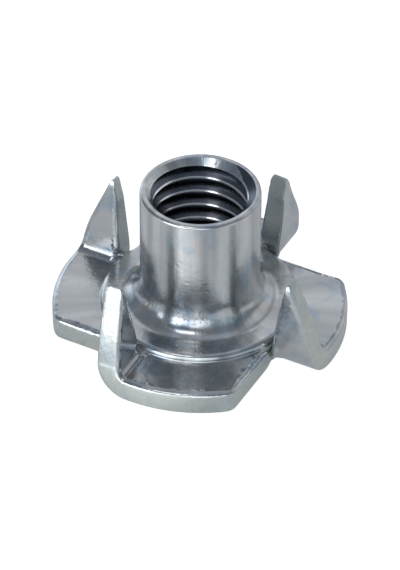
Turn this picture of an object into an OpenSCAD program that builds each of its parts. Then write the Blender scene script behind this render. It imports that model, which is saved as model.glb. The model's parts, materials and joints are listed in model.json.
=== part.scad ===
// Four-prong tee nut, drawn and pressed from one piece of steel sheet.
// It stands on its flange with the barrel up. The origin is on the barrel's axis at the
// underside of the flange, +Z runs up the barrel, and the sheared edges run along X and Y.

/* [Thread] */
// Minor diameter of the internal thread, which is the wall of the bore (M8 x 1.25)
thread_minor_d = 6.8; // [6.6:0.02:7]
// Diameter of the countersink at the mouth of the barrel
countersink_d = 7.8; // [7.2:0.1:8]

/* [Barrel] */
// Height of the whole nut, from the underside of the flange to the rim
nut_h = 12; // [10:0.1:17]
// Outer diameter of the barrel
barrel_d = 8.9; // [8.5:0.05:10.4]
// Radius of the rounded outer edge of the rim
rim_r = 0.25; // [0.1:0.05:0.3]
// Radius of the hollow between the barrel and the raised seat
root_r = 1.75; // [0.9:0.05:2.1]
// Radius of the drawn funnel under the flange, where the sheet turns up into the barrel
draw_r = 1.85; // [0.9:0.05:2.5]

/* [Flange] */
// Diameter of the round flange that the lobes are cut from
flange_d = 22; // [21:0.1:26.6]
// Thickness of the sheet
sheet_t = 1.8; // [1.4:0.05:2.2]
// Diameter of the raised round seat at the foot of the barrel
seat_d = 14.8; // [14.6:0.1:16]
// Height of the raised seat above the flange
seat_h = 0.56; // [0.24:0.02:1]
// Distance from the axis to the straight sheared edge of each lobe
shear_offset = 7.22; // [7:0.01:7.24]
// Radius of the corner between a sheared edge and the round outline
corner_r = 0.8; // [0.35:0.05:1.4]
// Radius of the rolled edge along the top of the round outline
edge_r = 0.45; // [0.15:0.05:0.7]

/* [Prongs] */
// Height of a prong's tip above the underside of the flange
prong_h = 8.3; // [6.5:0.1:10]
// Distance from the axis to the outer face of a prong, measured square to its blade
prong_offset = 2.76; // [2.56:0.02:3.36]
// Distance from the axis to a prong's inner edge, measured along its blade
prong_inner = 7.3; // [7.3:0.02:8]
// How far the inner edge has moved outward at the knee below the tip
knee_shift = 0.75; // [0.35:0.05:0.9]
// Height of the knee above the underside of the flange
knee_h = 6.7; // [5.3:0.1:7.6]
// Distance from the axis to the tip, measured along the blade
tip_offset = 8.55; // [8.3:0.05:9.1]
// Radius of a prong's curved outer edge
prong_edge_r = 16; // [9:1:46]
// Inner radius of the bend at the foot of a prong
bend_r = 0.7; // [0.45:0.05:1.15]
// How far a prong leans back from upright, in degrees
prong_lean = 4.5; // [0:0.5:8]

/* [Hidden] */
$fn = 96;

eps = 0.01;
lobe_count = 4;
arc_steps = 8;
flange_r = flange_d / 2;
seat_r = seat_d / 2;
seat_z = sheet_t + seat_h;
seat_bevel = seat_h / 4;
bore_r = thread_minor_d / 2;
countersink_r = countersink_d / 2;
countersink_depth = countersink_r - bore_r;
barrel_r = barrel_d / 2;
bend_y = -prong_offset + bend_r + sheet_t;
bend_z = bend_r + sheet_t;
blade_h = (prong_h - bend_z) / cos(prong_lean);
blade_knee = (knee_h - bend_z) / cos(prong_lean);
blade_root_x = sqrt(pow(flange_r, 2) - pow(prong_offset, 2));

// Points of an arc about [cx, cy], from angle a0 to a1
function arc(cx, cy, r, a0, a1) = [
    for (i = [0 : arc_steps])
        let (a = a0 + (a1 - a0) * i / arc_steps)
            [cx + r * cos(a), cy + r * sin(a)]
];

// Centre of the arc of radius r that bulges to the right, from p at the foot up to q
function arc_centre(p, q, r) =
    let (
        chord = q - p,
        half = norm(chord) / 2,
        away = sqrt(r * r - half * half),
        side = [-chord[1], chord[0]] / norm(chord)
    )
        (p + q) / 2 + side * away;

// Half section of the barrel with the raised seat at its foot, before it is bored
module barrel_section() {
    polygon(concat(
        [[0, 0], [seat_r, 0], [seat_r, seat_z - seat_bevel], [seat_r - seat_bevel, seat_z]],
        arc(barrel_r + root_r, seat_z + root_r, root_r, 270, 180),
        arc(barrel_r - rim_r, nut_h - rim_r, rim_r, 0, 90),
        [[0, nut_h]]
    ));
}

// The funnel that the draw leaves under the flange
module funnel_section() {
    polygon(concat(
        [[0, -eps], [bore_r + draw_r, -eps]],
        arc(bore_r + draw_r, draw_r, draw_r, 270, 180),
        [[0, draw_r]]
    ));
}

module barrel() {
    difference() {
        rotate_extrude() barrel_section();
        rotate_extrude() funnel_section();
        translate([0, 0, -1]) cylinder(r = bore_r, h = nut_h + 2);
        translate([0, 0, nut_h - countersink_depth])
            cylinder(r1 = bore_r, r2 = countersink_r + eps, h = countersink_depth + eps);
    }
}

// Outline of one lobe in the flat: a sheared edge along X, a rounded corner and an open
// outer side that the round flange closes
module lobe_outline() {
    corner_y = shear_offset - corner_r;
    corner_x = sqrt(pow(flange_r - corner_r, 2) - pow(corner_y, 2));
    round_end = atan2(corner_y, corner_x);
    polygon(concat(
        [[0, bend_y], [flange_r + 1, bend_y], [flange_r + 1, 0]],
        [(flange_r + 1) * [cos(round_end), sin(round_end)]],
        arc(corner_x, corner_y, corner_r, round_end + 4, 90),
        [[0, shear_offset]]
    ));
}

// Section of the round flange with its rolled top edge
module flange_section() {
    polygon(concat(
        [[bore_r + draw_r, 0], [flange_r, 0]],
        arc(flange_r - edge_r, sheet_t - edge_r, edge_r, 0, 90),
        [[bore_r + draw_r, sheet_t]]
    ));
}

module lobe() {
    intersection() {
        translate([0, 0, -1]) linear_extrude(sheet_t + 2) lobe_outline();
        rotate_extrude() flange_section();
    }
}

// The bend at the foot of a prong, with its outer end on the round outline
module prong_bend() {
    intersection() {
        translate([0, bend_y, bend_z])
            mirror([0, 1, 0])
                rotate([0, 90, 0])
                    rotate_extrude(angle = 90 - prong_lean)
                        translate([bend_r, prong_inner])
                            square([sheet_t, flange_r - prong_inner]);
        translate([0, 0, -1]) cylinder(r = flange_r, h = prong_h);
    }
}

// Outline of a blade above its bend: a straight inner edge, a knee, a point and an arc
module blade_outline() {
    root = [blade_root_x, 0];
    tip = [tip_offset, blade_h];
    centre = arc_centre(root, tip, prong_edge_r);
    foot_a = atan2(root[1] - centre[1], root[0] - centre[0]);
    tip_a = atan2(tip[1] - centre[1], tip[0] - centre[0]);
    polygon(concat(
        [[prong_inner, -eps], [blade_root_x, -eps]],
        arc(centre[0], centre[1], prong_edge_r, foot_a, tip_a),
        [[prong_inner + knee_shift, blade_knee]]
    ));
}

module prong_blade() {
    translate([0, bend_y, bend_z])
        rotate([90 + prong_lean, 0, 0])
            translate([0, 0, bend_r])
                linear_extrude(sheet_t) blade_outline();
}

module tee_nut() {
    color("LightSteelBlue")
        union() {
            barrel();
            for (k = [0 : lobe_count - 1])
                rotate([0, 0, -k * 360 / lobe_count]) {
                    lobe();
                    prong_bend();
                    prong_blade();
                }
        }
}

tee_nut();
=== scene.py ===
# %% [markdown]
# # A zinc-plated tee nut
#
# A tee nut is one piece of steel sheet. A press draws a barrel up from the middle of a
# flat blank, coins a raised seat round the barrel's foot, shears the blank's edge in
# four places and folds the four tabs up into prongs. Then the barrel is tapped and the
# whole piece is plated with zinc. This script takes the same steps, but it folds the
# prongs before it adds the barrel, because the fold is worked out on the flat blank.

import json
import math

import bmesh
import bpy
import numpy as np
from mathutils import Matrix, Vector, geometry, noise


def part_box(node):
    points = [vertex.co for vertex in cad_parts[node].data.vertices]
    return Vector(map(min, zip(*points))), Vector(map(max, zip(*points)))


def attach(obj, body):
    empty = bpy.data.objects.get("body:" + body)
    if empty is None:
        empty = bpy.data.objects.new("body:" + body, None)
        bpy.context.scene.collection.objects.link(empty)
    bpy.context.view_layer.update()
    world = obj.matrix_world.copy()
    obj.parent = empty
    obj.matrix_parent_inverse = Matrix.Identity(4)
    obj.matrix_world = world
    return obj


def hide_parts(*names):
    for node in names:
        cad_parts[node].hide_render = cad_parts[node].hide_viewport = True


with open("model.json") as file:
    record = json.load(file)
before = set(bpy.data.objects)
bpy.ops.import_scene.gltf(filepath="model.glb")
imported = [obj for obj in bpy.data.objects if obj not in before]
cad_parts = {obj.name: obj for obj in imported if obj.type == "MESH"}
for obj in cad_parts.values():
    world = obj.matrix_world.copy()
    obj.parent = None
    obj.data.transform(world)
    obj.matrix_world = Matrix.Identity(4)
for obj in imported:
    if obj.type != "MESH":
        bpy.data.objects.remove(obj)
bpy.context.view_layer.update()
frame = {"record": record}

# %% [markdown]
# ## Sizes
#
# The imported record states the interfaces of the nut, so the thread's radius, the
# barrel's radius and the sheet's thickness are read from there, and the height and the
# flange's radius from the box. What the record doesn't state is a named value here.
# All modelling is done in millimetres, and the finished mesh is scaled to metres once.

# %% Sizes in millimetres
MM = 0.001
mounts = {m["name"]: m for m in frame["record"]["mounts"]}
low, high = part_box("tee_nut")

NUT_H = (high[2] - low[2]) / MM
FLANGE_R = (high[0] - low[0]) / MM / 2
BORE_R = mounts["thread"]["dims"]["r_mm"]
BARREL_R = mounts["barrel"]["dims"]["r_mm"]
SHEET_T = mounts["flange_seat"]["pos_m"][2] / MM

THREAD_PITCH = 1.25
THREAD_MAJOR_R = 4.05
COUNTERSINK_R = 3.9
COUNTERSINK_DEPTH = 0.5
RIM_ROUND = 0.25
ROOT_W = 1.5
ROOT_H = 1.95
DRAW_R = 1.85
SEAT_R = 7.4
SEAT_H = 0.56
SEAT_ROUND = 0.42
SHEAR = 7.22
CORNER_R = 1.1
PRONG_OFFSET = 2.76
PRONG_INNER = 7.36
PRONG_H = 8.55
KNEE = Vector((8.05, 6.7))
TIP_X = 8.58
BEND_R = 0.7
LOBES = 4
print(f"nut {NUT_H:.2f} mm high, flange radius {FLANGE_R:.2f} mm, sheet {SHEET_T:.2f} mm")

# %% [markdown]
# ## The flat blank's outline
#
# Before it is folded, a prong lies flat beside its lobe. The outline of one quarter
# runs from the end of one shear cut, down the prong's inner edge, round its point, up
# its curved outer edge, along the round flange, round the lobe's corner and along the
# next shear cut. Each stretch is a line, an arc or a soft curve, with a point about every
# tenth of a millimetre. The other three quarters are copies turned by 90 degrees.

# %% Outline helpers
STEP = 0.11


def line(p, q):
    """Points from p up to, but not including, q."""
    p, q = Vector(p), Vector(q)
    count = max(1, round((q - p).length / STEP))
    return [p.lerp(q, i / count) for i in range(count)]


def arc(centre, radius, start, end):
    """Points of an arc in degrees, without its last point."""
    count = max(4, round(abs(math.radians(end - start)) * radius / STEP))
    centre = Vector(centre)
    turns = [math.radians(start + (end - start) * i / count) for i in range(count)]
    return [centre + radius * Vector((math.cos(a), math.sin(a))) for a in turns]


def angle_of(point):
    """Direction of a point from the axis, in degrees."""
    return math.degrees(math.atan2(point[1], point[0]))


def smoothstep(low_end, high_end, value):
    t = np.clip((value - low_end) / (high_end - low_end), 0, 1)
    return t * t * (3 - 2 * t)


# %% [markdown]
# The bend uses up some of the flat length, so the flat prong is longer than the bent
# one is high. `BEND_LENGTH` is the length of the middle of the sheet round the bend.
#
# A punch doesn't leave a square edge. On the side where it enters, it pulls the sheet's
# surface down into a roll, and the shear cuts have the widest and most ragged one. So
# each stretch also has the width, depth and raggedness of its roll, kept beside its
# points.

# %% The flat outline of one quarter, with the roll of its edge
LEAN = 4.5
BEND_Y = -PRONG_OFFSET + BEND_R + SHEET_T
BEND_Z = BEND_R + SHEET_T
BEND_MID = BEND_R + SHEET_T / 2
BEND_LENGTH = BEND_MID * math.radians(90 - LEAN)
BLADE_H = (PRONG_H - BEND_Z) / math.cos(math.radians(LEAN))
NOTCH_Y = BEND_Y - 1.8
NOTCH_R = (PRONG_INNER - SHEAR) / 2
ROLLS = {
    "notch": (0.12, 0.14, 0.012),
    "inner": (0.36, 0.34, 0.014),
    "point": (0.2, 0.22, 0.012),
    "outer": (0.25, 0.28, 0.012),
    "round": (0.4, 0.34, 0.014),
    "corner": (0.4, 0.34, 0.018),
    "shear": (0.42, 0.42, 0.026),
}


def flat_y(height_above_bend):
    """Y in the flat blank of a point that far up the blade."""
    return BEND_Y - BEND_LENGTH - height_above_bend


def outer_edge(tip, foot):
    """The prong's curved outer edge, from the tip back to the round outline."""
    bulge = 0.35
    chord = foot - tip
    control = (tip + foot) / 2 + bulge * Vector((chord.y, -chord.x)).normalized()
    count = round(chord.length / STEP)
    shares = [i / count for i in range(count)]
    return [(1 - t) ** 2 * tip + 2 * t * (1 - t) * control + t * t * foot for t in shares]


def quarter_outline():
    """Points of one quarter, and the kind of edge at each."""
    knee = Vector((KNEE.x, flat_y(KNEE.y - BEND_Z)))
    tip = Vector((TIP_X, flat_y(BLADE_H)))
    foot = Vector((math.sqrt(FLANGE_R**2 - PRONG_OFFSET**2), flat_y(0)))
    corner_y = SHEAR - CORNER_R
    corner_x = math.sqrt((FLANGE_R - CORNER_R) ** 2 - corner_y**2)
    corner = Vector((corner_x, corner_y))
    stretches = [
        ("notch", arc((SHEAR + NOTCH_R, NOTCH_Y), NOTCH_R, 180, 0)),
        ("inner", line((PRONG_INNER, NOTCH_Y), knee)),
        ("point", line(knee, tip)),
        ("outer", outer_edge(tip, foot)),
        ("round", arc((0, 0), FLANGE_R, angle_of(foot), angle_of(corner))),
        ("corner", arc(corner, CORNER_R, angle_of(corner), 90)),
        ("shear", line((corner_x, SHEAR), (-NOTCH_Y, SHEAR))),
    ]
    points = [p for _, stretch in stretches for p in stretch]
    kinds = [kind for kind, stretch in stretches for _ in stretch]
    return points, kinds, tip


def turned(points, quarter):
    """A copy of flat points, turned clockwise by that many quarters."""
    spin = Matrix.Rotation(-math.pi / 2 * quarter, 2)
    return [spin @ p for p in points]


quarter_points, quarter_kinds, quarter_tip = quarter_outline()
turns = list(reversed(range(LOBES)))
outline = np.array([p for k in turns for p in turned(quarter_points, k)])
kinds = quarter_kinds * LOBES
tips = np.array([turned([quarter_tip], k)[0] for k in turns])


def distance_to_tips(points):
    return np.linalg.norm(points[:, None] - tips[None], axis=2).min(axis=1)


def blunted(points, reach=0.6, rounds=12):
    """The outline with its four points rounded off by averaging neighbours."""
    near = (distance_to_tips(points) < reach)[:, None]
    for _ in range(rounds):
        average = (np.roll(points, 1, axis=0) + 2 * points + np.roll(points, -1, axis=0)) / 4
        points = np.where(near, average, points)
    return points


outline = blunted(outline)
print(f"blank outline: {len(outline)} points")

# %% [markdown]
# ## The blank as a solid
#
# The blank could be an extruded outline with a bevel, but Blender's bevel has one width
# for all edges, and here the roll changes along the outline. So the edge is built from
# rings: each ring is the outline moved inward and down by a share of the local roll. The
# last two make the burr, a thin ragged lip that stands up where the sheet was sheared.
# The two flat faces are filled with a Delaunay triangulation, with extra points inside
# so that they can bend smoothly.

# %% Rings round the edge
ROLL_STEPS = 6
BURR = 2.2
BURR_W = 0.06
BREAK_W = 0.17
TIP_SHARE = 0.22
TIP_FREE = 0.3


def smoothed(values, reach):
    """A closed row of values, averaged over neighbours on both sides."""
    total = sum(np.roll(values, shift) for shift in range(-reach, reach + 1))
    return total / (2 * reach + 1)


def inward_normals(points):
    tangent = np.roll(points, -1, axis=0) - np.roll(points, 1, axis=0)
    tangent /= np.linalg.norm(tangent, axis=1)[:, None]
    return np.stack([-tangent[:, 1], tangent[:, 0]], axis=1)


def edge_rings():
    """Rings from the underside, round the edge, to the upper face: (n, 3) arrays."""
    normal = inward_normals(outline)
    limit = TIP_SHARE * np.maximum(distance_to_tips(outline) - TIP_FREE, 0) + 0.015
    width = smoothed(np.array([ROLLS[k][0] for k in kinds]), 4)
    depth = smoothed(np.array([ROLLS[k][1] for k in kinds]), 4)
    ragged = smoothed(np.array([ROLLS[k][2] for k in kinds]), 4)
    share = np.minimum(1, limit / width)
    width, depth, ragged = width * share, depth * share, ragged * share
    breaks = np.minimum(BREAK_W, limit)
    rings = []

    def ring(inset, height, burr=0.0):
        shake = chance.normal(size=len(outline)) * ragged * burr
        flat = outline + normal * (inset + shake)[:, None]
        rings.append(np.column_stack([flat, height + 0.6 * shake]))

    for a in np.linspace(0, math.pi / 2, 4):
        ring(breaks * (1 - math.sin(a)), breaks * (1 - math.cos(a)))
    wall_low = breaks
    wall_high = SHEET_T - depth
    for share in (0.25, 0.5, 0.75):
        ring(0 * breaks, wall_low + (wall_high - wall_low) * share)
    for a in np.linspace(math.pi / 2, 0, ROLL_STEPS + 1):
        burr = math.sin(2 * a)
        ring(width * (1 - math.sin(a)), SHEET_T - depth * (1 - math.cos(a)), burr)
    lift = smoothed(np.abs(chance.normal(size=len(outline))), 1) * ragged * BURR
    rings[-1][:, 2] += lift
    ring(width + BURR_W * share**3, SHEET_T + 0 * width)
    return rings


chance = np.random.default_rng(7)
rings = edge_rings()
print(f"edge of the blank: {len(rings)} rings")

# %% [markdown]
# The points inside a face are wide apart on the lobes, and close together where the sheet
# bends or comes to a point. The middle needs none, as the barrel covers it.

# %% Filling the flat faces
FLAT_STEP = 0.34
BEND_STEP = 0.13
CORE_R = 6.2
LOOP_GAP = 0.6 * BEND_STEP


def hex_grid(step):
    """Points of a triangular grid that covers the blank."""
    reach = FLANGE_R + 1.5
    rows = np.arange(-reach, reach, step * math.sqrt(3) / 2)
    cols = np.arange(-reach, reach, step)
    return np.array([(x + (i % 2) * step / 2, y) for i, y in enumerate(rows) for x in cols])


def to_first_quarter(points, k):
    """Turns points back, so that prong k lies where prong 0 lies."""
    a = math.pi / 2 * k
    spin = np.array([[math.cos(a), -math.sin(a)], [math.sin(a), math.cos(a)]])
    return points @ spin.T


def in_bend(points):
    """True at the bends and the points of the prongs."""
    near = np.zeros(len(points), bool)
    for k in range(LOBES):
        q = to_first_quarter(points, k)
        s = BEND_Y - q[:, 1]
        bend = (s > -0.2) & (s < BEND_LENGTH + 0.3)
        point = s > BEND_LENGTH + BLADE_H - 1.4
        near |= (q[:, 0] > 6.6) & (bend | point)
    return near


def inside(points, loop):
    """Even-odd test of points against a closed loop."""
    x, y = points[:, :1], points[:, 1:2]
    x1, y1 = loop[:, 0], loop[:, 1]
    x2, y2 = np.roll(x1, -1), np.roll(y1, -1)
    crosses = (y1 > y) != (y2 > y)
    slope = (x2 - x1) / np.where(y2 == y1, 1e-12, y2 - y1)
    return ((x < x1 + slope * (y - y1)) & crosses).sum(axis=1) % 2 == 1


def cap(loop):
    """Flat vertices and triangles inside a closed loop."""
    wide = hex_grid(FLAT_STEP)
    fine = hex_grid(BEND_STEP)
    grid = np.vstack([wide[~in_bend(wide)], fine[in_bend(fine)]])
    grid = grid[np.linalg.norm(grid, axis=1) > CORE_R]
    grid = grid[inside(grid, loop)]
    square = (grid**2).sum(axis=1)[:, None] + (loop**2).sum(axis=1) - 2 * grid @ loop.T
    grid = grid[square.min(axis=1) > LOOP_GAP**2]
    coords = [Vector(p) for p in np.vstack([loop, grid])]
    n = len(loop)
    edges = [(i, (i + 1) % n) for i in range(n)]
    made = geometry.delaunay_2d_cdt(coords, edges, [], 1, 1e-7)
    return np.array(made[0]), made[2]


# %% [markdown]
# Each face keeps the number of its finish: the sheared wall between the two rounded edges
# is `CUT`, and everything else on the blank is `FACE`.

# %% Building the blank
FACE, CUT, THREAD = 0, 1, 2


def add_cap(bm, ring, upper):
    height = SHEET_T if upper else 0.0
    points, faces = cap(ring[:, :2])
    verts = [bm.verts.new((x, y, height)) for x, y in points]
    for face in faces:
        order = face if upper else reversed(face)
        bm.faces.new([verts[i] for i in order]).material_index = FACE


def build_blank():
    bm = bmesh.new()
    n = len(outline)
    grid = [[bm.verts.new(p) for p in ring] for ring in rings]
    roll_start = len(rings) - ROLL_STEPS - 2
    for r in range(len(rings) - 1):
        for i in range(n):
            j = (i + 1) % n
            face = bm.faces.new((grid[r][i], grid[r][j], grid[r + 1][j], grid[r + 1][i]))
            face.material_index = CUT if 2 <= r < roll_start + 1 else FACE
    add_cap(bm, rings[-1], upper=True)
    add_cap(bm, rings[0], upper=False)
    bmesh.ops.remove_doubles(bm, verts=bm.verts, dist=1e-5)
    return bm


blank = build_blank()
open_edges = sum(not e.is_manifold for e in blank.edges)
print(f"flat blank: {len(blank.faces)} faces, {open_edges} open edges")

# %% [markdown]
# ## Folding the prongs
#
# A prong is folded by moving each of its points round the bend's axis. A point that lies
# `s` past the bend line turns through the angle that the sheet's middle would, and what
# is left over goes on in a straight line. Each prong springs back by its own amount when
# the press opens. At the end of the shear cut the sheet tears instead of bending sharply,
# so there the fold fades into the flat lobe. The four prongs aren't quite alike: each has
# its own lean and fullness, and the third is thinner at its tip.

# %% The fold
SPRING_BACK = (2.6, 5.0, 7.0, 3.0)
FADE_FROM, FADE_TO = 6.8, 8.1
FADE_LENGTH = 1.0
TEAR = 0.22
TIP_THIN = (0.2, 0.2, 0.42, 0.2)
TIP_ROUND = 0.9
BULGE = (0.0, 0.05, 0.1, 0.35)
BULGE_AT = 0.25
BULGE_REACH = 0.3
BULGE_WIDTH = 1.6
TEAR_SCALE = 2.4


def folded(x, y, z, lean, bulge, tip_thin):
    """Where a point of the flat first prong goes when it is folded."""
    s = np.maximum(BEND_Y - y, 0)
    widest = BEND_LENGTH + BULGE_AT * BLADE_H
    swell = np.exp(-(((s - widest) / (BULGE_REACH * BLADE_H)) ** 2))
    x = x + bulge * swell * np.clip((x - PRONG_INNER) / BULGE_WIDTH, 0, 1.2)
    full = math.radians(90 - lean)
    turn = np.minimum(s / BEND_MID, full)
    past = s - BEND_MID * turn
    thin = 1 - tip_thin * smoothstep(BEND_LENGTH, BEND_LENGTH + BLADE_H, s)
    to_end = np.clip((BEND_LENGTH + BLADE_H - s) / TIP_ROUND, 0.03, 1)
    thin *= np.sqrt(1 - (1 - to_end) ** 2)
    arm = BEND_Z - SHEET_T / 2 - (z - SHEET_T / 2) * thin
    new_y = BEND_Y - arm * np.sin(turn) - past * np.cos(turn)
    new_z = BEND_Z - arm * np.cos(turn) + past * np.sin(turn)
    root = BEND_Y - NOTCH_Y - NOTCH_R
    by_width = smoothstep(FADE_FROM, FADE_TO, x)
    prong = np.maximum(by_width, smoothstep(root, root + FADE_LENGTH, s))
    lobe = by_width * (1 - smoothstep(root, root + FADE_LENGTH, s))
    blend = np.where(x > SHEAR + NOTCH_R, prong, lobe)
    torn = 4 * blend * (1 - blend) * TEAR
    jolt = [noise.noise(Vector(place) * TEAR_SCALE) for place in zip(x, y, z)]
    z = z + (new_z - z) * blend + torn * np.array(jolt)
    return x, y + (new_y - y) * blend, z


def fold_prongs(points):
    """All points of the blank with the four prongs folded up."""
    out = points.copy()
    for k in range(LOBES):
        q = to_first_quarter(points[:, :2], k)
        moves = (q[:, 0] > FADE_FROM) & (q[:, 1] < BEND_Y)
        flat_place = (q[moves, 0], q[moves, 1], points[moves, 2])
        x, y, z = folded(*flat_place, SPRING_BACK[k], BULGE[k], TIP_THIN[k])
        out[moves, :2] = to_first_quarter(np.column_stack([x, y]), -k)
        out[moves, 2] = z
    return out


flat = np.array([v.co for v in blank.verts])
for vert, place in zip(blank.verts, fold_prongs(flat)):
    vert.co = place
print("prong tips, highest point:", round(max(v.co.z for v in blank.verts), 2), "mm")


# %% [markdown]
# ## The barrel and the seat
#
# The drawn barrel is a body of revolution, so its half section is turned round the axis.
# It starts inside the blank and is joined to it with a boolean, as the metal is all one.

# %% Half section of the barrel
TURN_STEPS = 160
FLARE_R = 0.1


def section_arc(centre, radius, start, end, steps):
    """Points of an arc in a half section, both ends included."""
    turns = [math.radians(start + (end - start) * i / steps) for i in range(steps + 1)]
    return [(centre[0] + radius * math.cos(a), centre[1] + radius * math.sin(a)) for a in turns]


def barrel_section():
    seat_z = SHEET_T + SEAT_H
    rim = section_arc((BARREL_R - RIM_ROUND, NUT_H - RIM_ROUND), RIM_ROUND, 0, 90, 8)
    hollow = section_arc((0, 0), 1, 270, 180, 24)
    root = [(BARREL_R + ROOT_W * (1 + x), seat_z + ROOT_H * (1 + z)) for x, z in hollow]
    edge = section_arc((SEAT_R - SEAT_ROUND, seat_z - SEAT_ROUND), SEAT_ROUND, 0, 90, 6)
    flare = section_arc((SEAT_R + FLARE_R, SHEET_T + FLARE_R), FLARE_R, 250, 180, 4)
    start = [(0, SHEET_T / 2), (SEAT_R, SHEET_T / 2)]
    return start + flare + edge + root + rim + [(0, NUT_H)]


def revolve(section, material):
    """A closed body of revolution from a half section that starts and ends on the axis."""
    bm = bmesh.new()
    columns = []
    ends = [bm.verts.new((0, 0, section[0][1])), bm.verts.new((0, 0, section[-1][1]))]
    for j in range(TURN_STEPS):
        a = 2 * math.pi * j / TURN_STEPS
        ring = [bm.verts.new((r * math.cos(a), r * math.sin(a), z)) for r, z in section[1:-1]]
        columns.append([ends[0]] + ring + [ends[1]])
    for j in range(TURN_STEPS):
        here, after = columns[j], columns[(j + 1) % TURN_STEPS]
        for i in range(len(section) - 1):
            corners = dict.fromkeys([here[i], after[i], after[i + 1], here[i + 1]])
            bm.faces.new(list(corners)).material_index = material
    bmesh.ops.recalc_face_normals(bm, faces=bm.faces)
    return bm


print(f"barrel section: {len(barrel_section())} points, turned in {TURN_STEPS} steps")

# %% [markdown]
# ## The bore and the thread
#
# The bore is cut as on the real nut: first the drawn funnel, the hole and the
# countersink, then the thread with a tap. The tap is a screw-shaped mesh. Its rows follow
# the helix, so that each turn's edges are clean lines. The profile is near the metric one.
# Its flanks are about 68 degrees apart, where the standard says 60. It also breaks the
# crests' edges, which are the lines that catch the light in the bore.

# %% The bore's section and the tap
TAP_TURN_STEPS = 128
TAP_CORE_R = 3.3
TAP_SPARE = 5
CREST_R = BORE_R + 0.08
TAP_SHAPE = (
    (TAP_CORE_R, 0.49),
    (BORE_R, 0.46),
    (BORE_R + 0.02, 0.44),
    (CREST_R, 0.40),
    (THREAD_MAJOR_R, 0.09),
)
TAP_PROFILE = [(0.5 - half, r) for r, half in TAP_SHAPE]
TAP_PROFILE += [(0.5 + half, r) for r, half in reversed(TAP_SHAPE)]
LIP = 0.15


def bore_section():
    funnel = section_arc((BORE_R + DRAW_R, DRAW_R), DRAW_R, 270, 180, 16)
    lip = section_arc((COUNTERSINK_R + LIP, NUT_H - LIP), LIP, 135, 90, 4)
    mouth = [(BORE_R, NUT_H - COUNTERSINK_DEPTH)] + lip + [(COUNTERSINK_R + LIP, NUT_H + 1)]
    return [(0, -1), (BORE_R + DRAW_R, -1)] + funnel + mouth + [(0, NUT_H + 1)]


def build_tap():
    bm = bmesh.new()
    turns_up = math.ceil(NUT_H / THREAD_PITCH) + TAP_SPARE
    rows = []
    for turn in range(turns_up):
        rows += [((turn + share - 3) * THREAD_PITCH, r) for share, r in TAP_PROFILE]
    columns = []
    for j in range(TAP_TURN_STEPS + 1):
        a = 2 * math.pi * j / TAP_TURN_STEPS
        lift = THREAD_PITCH * j / TAP_TURN_STEPS
        spot = (math.cos(a), math.sin(a))
        columns.append([bm.verts.new((r * spot[0], r * spot[1], z + lift)) for z, r in rows])
    for here, after in zip(columns, columns[1:]):
        for i in range(len(rows) - 1):
            corners = (here[i], after[i], after[i + 1], here[i + 1])
            bm.faces.new(corners).material_index = THREAD
    bmesh.ops.remove_doubles(bm, verts=bm.verts, dist=1e-5)
    ends = [bm.verts.new((0, 0, rows[0][0] - 1)), bm.verts.new((0, 0, rows[-1][0] + 1))]
    for edge in [e for e in bm.edges if e.is_boundary]:
        end = ends[0] if edge.verts[0].co.z < NUT_H / 2 else ends[1]
        bm.faces.new((edge.verts[0], edge.verts[1], end)).material_index = THREAD
    bmesh.ops.recalc_face_normals(bm, faces=bm.faces)
    return bm


print(f"thread: pitch {THREAD_PITCH} mm, crests at radius {BORE_R:.2f}, roots at {THREAD_MAJOR_R}")

# %% [markdown]
# ## Joining and cutting
#
# The boolean modifier's exact solver works on closed meshes. The materials come first,
# as each face of the blank, the barrel and the cutting tools carries its finish through
# the boolean: `FACE` for rolled and drawn skin, `CUT` for sheared metal and `THREAD` for
# the tapped bore.

# %% Booleans
def to_object(bm, name):
    mesh = bpy.data.meshes.new(name)
    bm.to_mesh(mesh)
    bm.free()
    for material in finishes:
        mesh.materials.append(material)
    obj = bpy.data.objects.new(name, mesh)
    bpy.context.scene.collection.objects.link(obj)
    return obj


def applied(obj):
    """A new mesh with the object's modifiers in it."""
    bpy.context.view_layer.update()
    graph = bpy.context.evaluated_depsgraph_get()
    return bpy.data.meshes.new_from_object(obj.evaluated_get(graph))


def combine(base, tool, operation):
    """Applies a boolean to base, and removes the tool."""
    modifier = base.modifiers.new("combine", "BOOLEAN")
    modifier.operation = operation
    modifier.solver = "EXACT"
    modifier.object = tool
    result = applied(base)
    base.modifiers.clear()
    base.data = result
    print(f"{operation.lower()} with {tool.name}: {len(result.polygons)} faces")
    bpy.data.objects.remove(tool)


finishes = [bpy.data.materials.new(n) for n in ("zinc_skin", "zinc_on_cut", "zinc_thread")]
nut = to_object(blank, "tee_nut_body")
combine(nut, to_object(revolve(barrel_section(), FACE), "barrel"), "UNION")
combine(nut, to_object(revolve(bore_section(), FACE), "bore"), "DIFFERENCE")
combine(nut, to_object(build_tap(), "tap"), "DIFFERENCE")

# %% [markdown]
# ## Cleaning the mesh
#
# The boolean leaves a few very short edges, which are merged. Faces are shaded smooth,
# with edges over 38 degrees kept sharp, and the weighted normals keep the large flat
# faces flat next to the small round ones.

# %% Clean up and smooth shading
SHARP_DEG = 38
MERGE_MM = 0.002
SHORT_MM = 0.001


def clean(obj):
    bm = bmesh.new()
    bm.from_mesh(obj.data)
    bmesh.ops.remove_doubles(bm, verts=bm.verts, dist=MERGE_MM)
    bmesh.ops.dissolve_degenerate(bm, edges=bm.edges, dist=SHORT_MM)
    bmesh.ops.triangulate(bm, faces=[f for f in bm.faces if len(f.verts) > 4])
    bmesh.ops.scale(bm, verts=bm.verts, vec=(MM, MM, MM))
    loose = [v for v in bm.verts if not v.link_faces]
    bmesh.ops.delete(bm, geom=loose, context="VERTS")
    open_edges = sum(not e.is_manifold for e in bm.edges)
    bm.to_mesh(obj.data)
    bm.free()
    print(f"{obj.name}: {len(obj.data.polygons)} faces, {open_edges} open edges")


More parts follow.
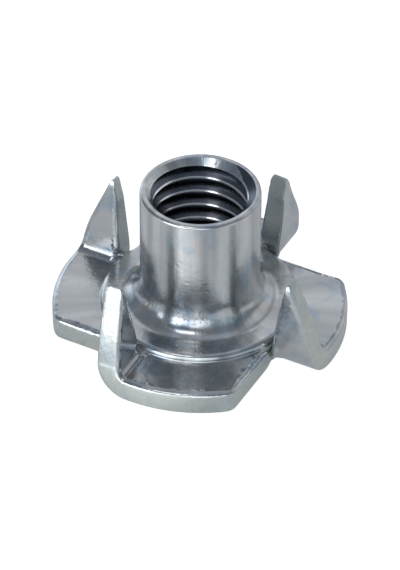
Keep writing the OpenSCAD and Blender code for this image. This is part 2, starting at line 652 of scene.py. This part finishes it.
clean(nut)
nut.data.shade_smooth()
nut.data.set_sharp_from_angle(angle=math.radians(SHARP_DEG))
weighting = nut.modifiers.new("weighting", "WEIGHTED_NORMAL")
weighting.keep_sharp = True
nut.data = applied(nut)
nut.modifiers.clear()

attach(nut, "root")
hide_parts("tee_nut")

# %% [markdown]
# ## The zinc finish
#
# The plating is a thin bright skin of zinc with a blue passivation. It isn't even: the
# passivation leaves clouds of faint blue and straw with small dull freckles, the edges
# are rubbed bright, the die leaves lines, and dark specks ring the barrel's foot. Each of
# these is a node group with its own inputs, so that one group serves all three finishes.

# %% Helpers for node groups
def new_group(name, inputs, outputs):
    """An empty node group. Inputs are (name, socket type, default), outputs (name, type)."""
    group = bpy.data.node_groups.new(name, "ShaderNodeTree")
    for label, kind, default in inputs:
        socket = group.interface.new_socket(label, in_out="INPUT", socket_type=kind)
        socket.default_value = default
    for label, kind in outputs:
        group.interface.new_socket(label, in_out="OUTPUT", socket_type=kind)
    return group, group.nodes.new("NodeGroupInput"), group.nodes.new("NodeGroupOutput")


def add(tree, kind, **settings):
    node = tree.nodes.new(kind)
    for key, value in settings.items():
        setattr(node, key, value)
    return node


def feed(tree, node, **sources):
    """Sets or links inputs by name; underscores stand for spaces."""
    for key, source in sources.items():
        socket = node.inputs[key.replace("_", " ")]
        if isinstance(source, bpy.types.NodeSocket):
            tree.links.new(source, socket)
        else:
            socket.default_value = source
    return node


def maths(tree, operation, *values):
    node = add(tree, "ShaderNodeMath", operation=operation)
    for socket, value in zip(node.inputs, values):
        if isinstance(value, bpy.types.NodeSocket):
            tree.links.new(value, socket)
        else:
            socket.default_value = value
    return node.outputs[0]


def span(tree, value, low_end, high_end, low_out=0.0, high_out=1.0):
    """A value mapped smoothly from one range to another."""
    node = add(tree, "ShaderNodeMapRange", interpolation_type="SMOOTHSTEP")
    feed(tree, node, Value=value, From_Min=low_end, From_Max=high_end)
    feed(tree, node, To_Min=low_out, To_Max=high_out)
    return node.outputs["Result"]


def noise_at(tree, vector, scale, detail, roughness=0.55, distortion=0.0):
    node = add(tree, "ShaderNodeTexNoise")
    feed(tree, node, Vector=vector, Scale=scale, Detail=detail)
    feed(tree, node, Roughness=roughness, Distortion=distortion)
    return node.outputs["Fac"]


def mixed(tree, factor, first, second, blend="MIX"):
    node = add(tree, "ShaderNodeMix", data_type="RGBA", blend_type=blend)
    for key, value in (("Factor", factor), ("A", first), ("B", second)):
        socket = next(i for i in node.inputs if i.name == key and i.enabled)
        if isinstance(value, bpy.types.NodeSocket):
            tree.links.new(value, socket)
        elif key == "Factor":
            socket.default_value = value
        else:
            socket.default_value = (*value, 1)
    return next(o for o in node.outputs if o.enabled)


def millimetres(tree):
    """The object's own coordinates, in millimetres."""
    coords = add(tree, "ShaderNodeTexCoord").outputs["Object"]
    node = add(tree, "ShaderNodeVectorMath", operation="SCALE")
    feed(tree, node, Vector=coords, Scale=1 / MM)
    return node.outputs[0]


def from_axis(tree, vector):
    """Distance of a point from the nut's axis."""
    flat = add(tree, "ShaderNodeVectorMath", operation="MULTIPLY")
    feed(tree, flat, Vector=vector)
    flat.inputs[1].default_value = (1, 1, 0)
    length = add(tree, "ShaderNodeVectorMath", operation="LENGTH")
    feed(tree, length, Vector=flat.outputs[0])
    return length.outputs["Value"]


# %% [markdown]
# **Clouds.** Interference colours drift slowly over a surface. Two soft noises choose
# between three tints, and a finer one adds the dull freckles in the plating.

# %% Clouds
FRECKLE_COLOUR = (0.30, 0.32, 0.34)
FRECKLE_SHARE = 0.35


def build_clouds():
    group, source, result = new_group(
        "plating_clouds",
        [
            ("Vector", "NodeSocketVector", (0, 0, 0)),
            ("Base", "NodeSocketColor", (0.6, 0.6, 0.6, 1)),
            ("Cool", "NodeSocketColor", (0.5, 0.6, 0.7, 1)),
            ("Warm", "NodeSocketColor", (0.65, 0.6, 0.55, 1)),
            ("Amount", "NodeSocketFloat", 0.5),
        ],
        [("Color", "NodeSocketColor"), ("Freckles", "NodeSocketFloat")],
    )
    spot = source.outputs["Vector"]
    slow = span(group, noise_at(group, spot, 0.42, 3, distortion=0.8), 0.48, 0.66)
    other = span(group, noise_at(group, spot, 0.9, 4, distortion=1.4), 0.5, 0.72)
    amount = source.outputs["Amount"]
    cool_share = maths(group, "MULTIPLY", slow, amount)
    warm_share = maths(group, "MULTIPLY", other, amount)
    cool = mixed(group, cool_share, source.outputs["Base"], source.outputs["Cool"])
    both = mixed(group, warm_share, cool, source.outputs["Warm"])
    fine = span(group, noise_at(group, spot, 5.5, 6, 0.7), 0.56, 0.74)
    shade = mixed(group, maths(group, "MULTIPLY", fine, FRECKLE_SHARE), both, FRECKLE_COLOUR)
    feed(group, result, Color=shade, Freckles=fine)
    return group


# %% [markdown]
# **Draw lines.** The die drags fine lines up the barrel. In cylinder coordinates a noise
# that hardly changes with height and quickly with the angle makes them. On a flat face
# the same noise gives faint lines that run outward from the barrel.

# %% Draw lines
def build_draw_lines():
    group, source, result = new_group(
        "draw_lines",
        [("Vector", "NodeSocketVector", (0, 0, 0)), ("Stretch", "NodeSocketFloat", 0.06)],
        [("Height", "NodeSocketFloat"), ("Bands", "NodeSocketFloat")],
    )
    parts = feed(group, add(group, "ShaderNodeSeparateXYZ"), Vector=source.outputs["Vector"])
    angle = maths(group, "ARCTAN2", parts.outputs["Y"], parts.outputs["X"])
    around = maths(group, "MULTIPLY", angle, BARREL_R)
    upward = maths(group, "MULTIPLY", parts.outputs["Z"], source.outputs["Stretch"])
    place = feed(group, add(group, "ShaderNodeCombineXYZ"), X=around, Y=upward)
    lines = noise_at(group, place.outputs[0], 6.0, 5, 0.6)
    bands = noise_at(group, place.outputs[0], 0.75, 2, 0.5)
    feed(group, result, Height=lines, Bands=bands)
    return group


# %% [markdown]
# **Worn edges.** Parts tumble against each other in the plating drum, so the outer edges
# are rubbed smooth and bright. A bevel node finds them: where the rounded normal differs
# from the true one, there is an edge.

# %% Edge rub
def build_edge_rub():
    group, source, result = new_group(
        "edge_rub",
        [("Vector", "NodeSocketVector", (0, 0, 0)), ("Width", "NodeSocketFloat", 0.15)],
        [("Mask", "NodeSocketFloat")],
    )
    radius = maths(group, "MULTIPLY", source.outputs["Width"], MM)
    round_one = feed(group, add(group, "ShaderNodeBevel", samples=4), Radius=radius)
    true_one = add(group, "ShaderNodeNewGeometry")
    dot = add(group, "ShaderNodeVectorMath", operation="DOT_PRODUCT")
    group.links.new(round_one.outputs[0], dot.inputs[0])
    group.links.new(true_one.outputs["Normal"], dot.inputs[1])
    edge = span(group, dot.outputs["Value"], 0.995, 0.9, 0.0, 1.0)
    broken = span(group, noise_at(group, source.outputs["Vector"], 2.2, 4), 0.3, 0.6)
    feed(group, result, Mask=maths(group, "MULTIPLY", edge, broken))
    return group


# %% [markdown]
# **Dents and peel.** The plated surface has a slight orange peel and small dents. On
# sheared metal a noise drawn out along the height adds the scores of the tear.

# %% Surface height
def build_peel():
    group, source, result = new_group(
        "peel_and_dents",
        [
            ("Vector", "NodeSocketVector", (0, 0, 0)),
            ("Peel", "NodeSocketFloat", 0.3),
            ("Dents", "NodeSocketFloat", 0.5),
            ("Tears", "NodeSocketFloat", 0.0),
        ],
        [("Height", "NodeSocketFloat")],
    )
    spot = source.outputs["Vector"]
    peel = maths(group, "MULTIPLY", noise_at(group, spot, 2.6, 3), source.outputs["Peel"])
    cells = add(group, "ShaderNodeTexVoronoi", feature="SMOOTH_F1")
    feed(group, cells, Vector=spot, Scale=1.3, Smoothness=0.6)
    pits = span(group, cells.outputs["Distance"], 0.02, 0.22, -1.0, 0.0)
    dents = maths(group, "MULTIPLY", pits, source.outputs["Dents"])
    squash = add(group, "ShaderNodeVectorMath", operation="MULTIPLY")
    feed(group, squash, Vector=spot)
    squash.inputs[1].default_value = (3.0, 3.0, 0.7)
    tears = noise_at(group, squash.outputs[0], 1.6, 5, 0.65)
    tears = maths(group, "MULTIPLY", tears, source.outputs["Tears"])
    height = maths(group, "ADD", maths(group, "ADD", peel, dents), tears)
    feed(group, result, Height=height)
    return group


# %% [markdown]
# ** Thread crests.** The crests of the thread keep a bright zinc colour, while the flanks
# between them are darker, partly for thinner plating and partly as painted shade in the deep
# bore. A mask by the distance from the axis tells one from the other.

# %% Crest shine
CREST_FADE = 0.05


def build_crests():
    group, source, result = new_group(
        "crest_shine",
        [("Vector", "NodeSocketVector", (0, 0, 0)), ("Radius", "NodeSocketFloat", CREST_R)],
        [("Mask", "NodeSocketFloat")],
    )
    away = from_axis(group, source.outputs["Vector"])
    past = maths(group, "SUBTRACT", away, source.outputs["Radius"])
    feed(group, result, Mask=span(group, past, 0.0, CREST_FADE, 1.0, 0.0))
    return group


# %% [markdown]
# ** Dark specks.** Small dark specks darken the foot of the barrel. They are dense in a belt
# round the foot and in patches along it.

# %% Dark specks round the barrel's foot
SPECK_BELT = (2.7, 3.4, 4.4, 5.8)
SPECK_REACH = (5.8, 6.4)


def build_dark_specks():
    group, source, result = new_group(
        "dark_specks", [("Vector", "NodeSocketVector", (0, 0, 0))], [("Mask", "NodeSocketFloat")]
    )
    spot = source.outputs["Vector"]
    parts = feed(group, add(group, "ShaderNodeSeparateXYZ"), Vector=spot)
    height = parts.outputs["Z"]
    above = span(group, height, SPECK_BELT[0], SPECK_BELT[1])
    below = span(group, height, SPECK_BELT[2], SPECK_BELT[3], 1.0, 0.0)
    belt = maths(group, "MULTIPLY", above, below)
    near = span(group, from_axis(group, spot), *SPECK_REACH, 1.0, 0.0)
    belt = maths(group, "MULTIPLY", belt, near)
    patch = span(group, noise_at(group, spot, 0.32, 1), 0.40, 0.56)
    specks = span(group, noise_at(group, spot, 4.5, 8, 0.8), 0.47, 0.62)
    patches = maths(group, "MULTIPLY", belt, patch)
    feed(group, result, Mask=maths(group, "MULTIPLY", patches, specks))
    return group


dark_specks_group = build_dark_specks()
crests_group = build_crests()
clouds_group = build_clouds()
lines_group = build_draw_lines()
rub_group = build_edge_rub()
peel_group = build_peel()


def use(tree, group, **sources):
    node = add(tree, "ShaderNodeGroup", node_tree=group)
    return feed(tree, node, **sources)


# %% [markdown]
# ## Three finishes from the same groups
#
# The drawn skin is the smoothest, and only it has the dark specks. A sheared edge is torn below
# its burnished band, so it is rougher, greener and scored across. The tapped thread's colour
# is painted dark, partly for its thinner plating and partly as painted shade in the deep bore,
# and its crests are bright instead of its edges.

# %% Building the finishes
SPECK_COLOUR = (0.16, 0.17, 0.19)
WORN_ROUGH = (0.12, 0.12, 0.12)
FRECKLE_ROUGH = 0.12
SPECK_ROUGH = 0.2


def finish(material, look):
    material.use_nodes = True
    tree = material.node_tree
    shader = tree.nodes["Principled BSDF"]
    shader.inputs["Metallic"].default_value = 1.0
    spot = millimetres(tree)
    clouds = use(tree, clouds_group, Vector=spot, Amount=look["clouding"])
    for label in ("Base", "Cool", "Warm"):
        clouds.inputs[label].default_value = (*look[label], 1)
    lines = use(tree, lines_group, Vector=spot, Stretch=look["stretch"])
    rub = use(tree, rub_group, Vector=spot, Width=look["edge"])
    worn = maths(tree, "MULTIPLY", rub.outputs["Mask"], look["rub"])
    if look["crests"]:
        worn = use(tree, crests_group, Vector=spot).outputs["Mask"]
    bands = span(tree, lines.outputs["Bands"], 0.35, 0.7, 1.0 - look["bands"], 1.0)
    banded = mixed(tree, 1.0, clouds.outputs["Color"], bands, "MULTIPLY")
    # Dark specks in a belt round the barrel's foot darken the colour here.
    speck_mask = use(tree, dark_specks_group, Vector=spot).outputs["Mask"]
    speckling = maths(tree, "MULTIPLY", speck_mask, look["speckling"])
    speckled = mixed(tree, speckling, banded, SPECK_COLOUR)
    tree.links.new(mixed(tree, worn, speckled, look["bright"]), shader.inputs["Base Color"])
    patchy = span(tree, noise_at(tree, spot, 0.8, 4, 0.6), 0.35, 0.7, *look["rough"])
    freckled = maths(tree, "MULTIPLY", clouds.outputs["Freckles"], FRECKLE_ROUGH)
    dull = maths(tree, "ADD", patchy, freckled)
    dull = maths(tree, "ADD", dull, maths(tree, "MULTIPLY", speckling, SPECK_ROUGH))
    rough = mixed(tree, worn, dull, WORN_ROUGH)
    tree.links.new(rough, shader.inputs["Roughness"])
    peel = use(tree, peel_group, Vector=spot)
    feed(tree, peel, Peel=look["peel"], Dents=look["dents"], Tears=look["tears"])
    scored = maths(tree, "MULTIPLY", lines.outputs["Height"], look["lines"])
    height = maths(tree, "ADD", peel.outputs["Height"], scored)
    bump = add(tree, "ShaderNodeBump")
    feed(tree, bump, Strength=look["bump"], Distance=look["depth"] * MM, Height=height)
    tree.links.new(bump.outputs["Normal"], shader.inputs["Normal"])


LOOKS = [
    {
        "Base": (0.70, 0.72, 0.725), "Cool": (0.54, 0.63, 0.71), "Warm": (0.71, 0.68, 0.665),
        "bright": (0.84, 0.85, 0.84), "clouding": 1.0, "stretch": 0.05, "edge": 0.16,
        "rub": 0.7, "bands": 0.3, "rough": (0.16, 0.27), "peel": 0.5, "dents": 0.35,
        "tears": 0.0, "lines": 0.35, "bump": 0.5, "depth": 0.035, "crests": False,
        "speckling": 0.9,
    },
    {
        "Base": (0.58, 0.62, 0.60), "Cool": (0.50, 0.57, 0.60), "Warm": (0.67, 0.65, 0.54),
        "bright": (0.74, 0.75, 0.70), "clouding": 1.0, "stretch": 1.0, "edge": 0.2,
        "rub": 0.6, "bands": 0.0, "rough": (0.26, 0.42), "peel": 0.7, "dents": 0.3,
        "tears": 1.0, "lines": 0.0, "bump": 0.6, "depth": 0.05, "crests": False,
        "speckling": 0.0,
    },
    # The thread's colours are painted dark: partly for its thinner plating, partly as painted
    # shade in the deep bore.
    {
        "Base": (0.13, 0.145, 0.17), "Cool": (0.11, 0.13, 0.165), "Warm": (0.15, 0.15, 0.16),
        "bright": (0.80, 0.81, 0.83), "clouding": 0.6, "stretch": 1.0, "edge": 0.08,
        "rub": 0.9, "bands": 0.0, "rough": (0.18, 0.28), "peel": 0.4, "dents": 0.1,
        "tears": 0.2, "lines": 0.0, "bump": 0.4, "depth": 0.03, "crests": True,
        "speckling": 0.0,
    },
]
for material, look in zip(finishes, LOOKS):
    finish(material, look)
print("finishes:", [m.name for m in finishes])

# %% [markdown]
# ## Floor, light and camera
#
# The nut stands on white paper. To the camera the paper is lit up evenly, as on a light
# table, so that only a faint contact shadow is left. The metal sees a softer paper, with a
# pool of light in front of the nut, which gives the barrel its bright middle. From below the
# paper is clear, so that the nut's underside can be looked at.

# %% Floor
PAPER = 0.8
FLOOR_GAP = 0.1
GLOW = 0.17
CAMERA_GLOW = 0.85
POOL_AT = (1.8, -17.6)
POOL_FULL, POOL_EDGE = 3, 8.5
POOL_GLOW = 0.5
bpy.ops.mesh.primitive_plane_add(size=3)
floor = bpy.context.object
floor.name = "floor"
floor.location.z = -FLOOR_GAP * MM
paper = bpy.data.materials.new("floor_paper")
paper.use_nodes = True
tree = paper.node_tree
shader = tree.nodes["Principled BSDF"]
shader.inputs["Base Color"].default_value = (PAPER, PAPER, PAPER, 1)
shader.inputs["Roughness"].default_value = 1.0
shader.inputs["Specular IOR Level"].default_value = 0.0
shader.inputs["Emission Color"].default_value = (1, 1, 1, 1)
seen = add(tree, "ShaderNodeLightPath").outputs["Is Camera Ray"]
away = add(tree, "ShaderNodeVectorMath", operation="DISTANCE")
tree.links.new(millimetres(tree), away.inputs[0])
away.inputs[1].default_value = (*POOL_AT, 0)
pool = span(tree, away.outputs["Value"], POOL_FULL, POOL_EDGE, GLOW + POOL_GLOW, GLOW)
hidden = maths(tree, "MULTIPLY", maths(tree, "SUBTRACT", 1.0, seen), pool)
glow = maths(tree, "ADD", hidden, maths(tree, "MULTIPLY", seen, CAMERA_GLOW))
tree.links.new(glow, shader.inputs["Emission Strength"])
below = add(tree, "ShaderNodeNewGeometry").outputs["Backfacing"]
tree.links.new(maths(tree, "SUBTRACT", 1.0, below), shader.inputs["Alpha"])
floor.data.materials.append(paper)
print(f"floor: {FLOOR_GAP} mm below the nut")

# %% [markdown]
# The light is a dim room with soft panels. Polished metal shows its surroundings, so the
# panels decide how each face looks: two behind the nut light the tops of the lobes, low
# ones all round light the upright faces, and a small strong one gives the highlights on
# the round edges.

# %% Soft panels
def direction(azimuth, elevation):
    """Unit vector; azimuth 0 is +Y, 90 is +X."""
    a, e = math.radians(azimuth), math.radians(elevation)
    return (math.sin(a) * math.cos(e), math.cos(a) * math.cos(e), math.sin(e))


ROOM = (0.19, 0.21, 0.24)
PANELS = {
    "low front": ((198, 6), (13, 26), (2.90, 3.00, 3.10)),
    "low middle": ((158, 8), (12, 30), (1.50, 1.60, 1.70)),
    "low right": ((100, 5), (10, 28), (0.30, 0.36, 0.36)),
    "low left": ((-55, 5), (10, 28), (0.85, 0.95, 1.05)),
    "low back": ((15, 5), (12, 34), (0.30, 0.30, 0.31)),
    "back left": ((-30, 38), (16, 32), (0.46, 0.46, 0.47)),
    "back right": ((38, 32), (12, 30), (0.40, 0.40, 0.40)),
    "overhead": ((0, 86), (14, 34), (0.18, 0.19, 0.21)),
    "key": ((180, 57), (5, 12), (2.60, 2.60, 2.60)),
}
world = bpy.data.worlds.new("studio")
bpy.context.scene.world = world
world.use_nodes = True
tree = world.node_tree
coords = add(tree, "ShaderNodeTexCoord").outputs["Generated"]
light = ROOM
for (azimuth, elevation), (full, edge), colour in PANELS.values():
    dot = add(tree, "ShaderNodeVectorMath", operation="DOT_PRODUCT")
    tree.links.new(coords, dot.inputs[0])
    dot.inputs[1].default_value = direction(azimuth, elevation)
    limits = math.cos(math.radians(edge)), math.cos(math.radians(full))
    light = mixed(tree, span(tree, dot.outputs["Value"], *limits), light, colour, "ADD")
tree.links.new(light, tree.nodes["Background"].inputs["Color"])
print("panels:", list(PANELS))

# %% [markdown]
# A small white card stands on the paper in front of the nut, to the left. It brightens
# the upright sheared face of the nearest prong.

# %% White card
CARD_AZ = 201
CARD_FAR, CARD_UP = 32, 5
CARD_W, CARD_TALL = 16, 10
CARD_GLOW = 0.9
card = bpy.data.lights.new("white_card", "AREA")
card.shape = "RECTANGLE"
card.size = CARD_W * MM
card.size_y = CARD_TALL * MM
card.energy = CARD_GLOW * math.pi * card.size * card.size_y
card_at = Vector(direction(CARD_AZ, 0)) * CARD_FAR
card_at.z = CARD_UP
holder = bpy.data.objects.new("white_card", card)
bpy.context.scene.collection.objects.link(holder)
holder.location = card_at * MM
holder.rotation_euler = Vector((card_at.x, card_at.y, 0)).to_track_quat("Z", "Y").to_euler()

print(f"card: {CARD_W} x {CARD_TALL} mm, {CARD_FAR} mm from the axis")

# %% [markdown]
# The camera looks down at the nut from the front right with a long lens, so that the
# barrel's sides stay nearly parallel.

# %% Camera
CAMERA_MM = Vector((97.15, -181.67, 172.41))
AIM_MM = Vector((0, 0, 3.06))
LENS = 227
ROLL_DEG = 0.33
camera = bpy.data.objects.new("camera", bpy.data.cameras.new("camera"))
bpy.context.scene.collection.objects.link(camera)
camera.data.lens = LENS
camera.data.clip_start = 0.01
camera.location = CAMERA_MM * MM
aim = (AIM_MM - CAMERA_MM).to_track_quat("-Z", "Y").to_matrix().to_4x4()
aim = aim @ Matrix.Rotation(math.radians(ROLL_DEG), 4, "Z")
camera.rotation_euler = aim.to_euler()
bpy.context.scene.camera = camera
bpy.context.scene.view_settings.view_transform = "Standard"
print(f"camera: {(CAMERA_MM - AIM_MM).length:.0f} mm away, {LENS} mm lens")
